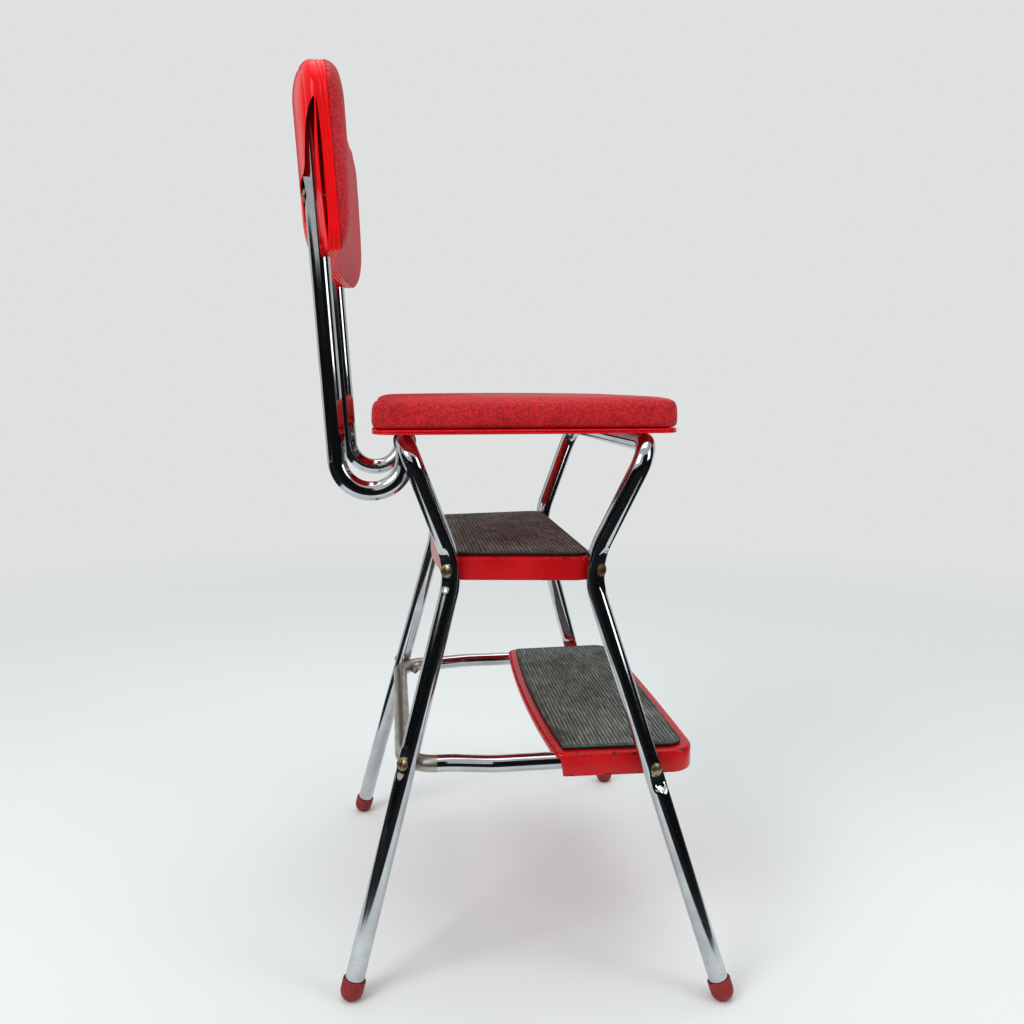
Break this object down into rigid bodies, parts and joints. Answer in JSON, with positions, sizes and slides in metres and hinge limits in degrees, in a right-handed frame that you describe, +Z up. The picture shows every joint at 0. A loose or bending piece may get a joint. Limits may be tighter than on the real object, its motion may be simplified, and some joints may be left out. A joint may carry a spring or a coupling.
{
  "type": "step stool chair",
  "caption": "High kitchen chair with a padded flip-up seat and padded back on a chromed tube frame, with steel steps between the legs.",
  "frame": {"origin": "on the floor, below the middle of the whole chair", "axes": "+Z up, -Y towards the front of the chair, +X towards its right side"},
  "size_m": [0.5448, 0.4372, 0.9601],
  "materials": {
    "chrome": "bright chrome plate on bent steel tube, lightly pitted",
    "worn_chrome": "dulled chrome plate",
    "brass": "aged brass-plated slotted screws",
    "steel": "plain zinc-plated steel",
    "red_enamel": "gloss red baked enamel, scuffed",
    "back_enamel": "gloss bright red enamel",
    "red_vinyl": "pebbled red vinyl over foam",
    "red_rubber": "matt red rubber",
    "black_rubber": "ribbed dark rubber, worn lighter on the ribs",
    "plywood": "plain plywood"
  },
  "bodies": {
    "frame": {"rear_leg_frame": "chrome", "front_leg_frame": "chrome", "back_tube": "chrome", "lower_step_rail": "worn_chrome", "upper_step_tray": "red_enamel", "lower_step_tray": "red_enamel", "upper_step_mat": "black_rubber", "lower_step_mat": "black_rubber", "back_cover": "back_enamel", "back_pan": "back_enamel", "back_pad": "red_vinyl", "back_board": "plywood", "back_screw_right": "brass", "back_screw_left": "brass", "upper_step_screw_rear_right": "brass", "upper_step_screw_rear_left": "brass", "upper_step_screw_front_right": "brass", "upper_step_screw_front_left": "brass", "lower_step_screw_rear_right": "brass", "lower_step_screw_rear_left": "brass", "lower_step_screw_front_right": "brass", "lower_step_screw_front_left": "brass", "upper_step_nut_rear_right": "steel", "upper_step_nut_rear_left": "steel", "upper_step_nut_front_right": "steel", "upper_step_nut_front_left": "steel", "lower_step_nut_rear_right": "steel", "lower_step_nut_rear_left": "steel", "lower_step_nut_front_right": "steel", "lower_step_nut_front_left": "steel", "foot_rear_right": "red_rubber", "foot_rear_left": "red_rubber", "foot_front_right": "red_rubber", "foot_front_left": "red_rubber"},
    "seat": {"seat_pan": "red_enamel", "seat_board": "plywood", "seat_cushion": "red_vinyl", "seat_hinge_clip_right": "steel", "seat_hinge_clip_left": "steel", "seat_bumper_right": "black_rubber", "seat_bumper_left": "black_rubber", "hinge_screw_rear_right": "steel", "hinge_screw_rear_left": "steel", "hinge_screw_front_right": "steel", "hinge_screw_front_left": "steel"}
  },
  "joints": [
    {"name": "seat_flip", "type": "hinge", "parent": "frame", "child": "seat", "pos_m": [0, 0.10707, 0.57], "axis": [-1, 0, 0], "range_deg": [0, 78]}
  ]
}
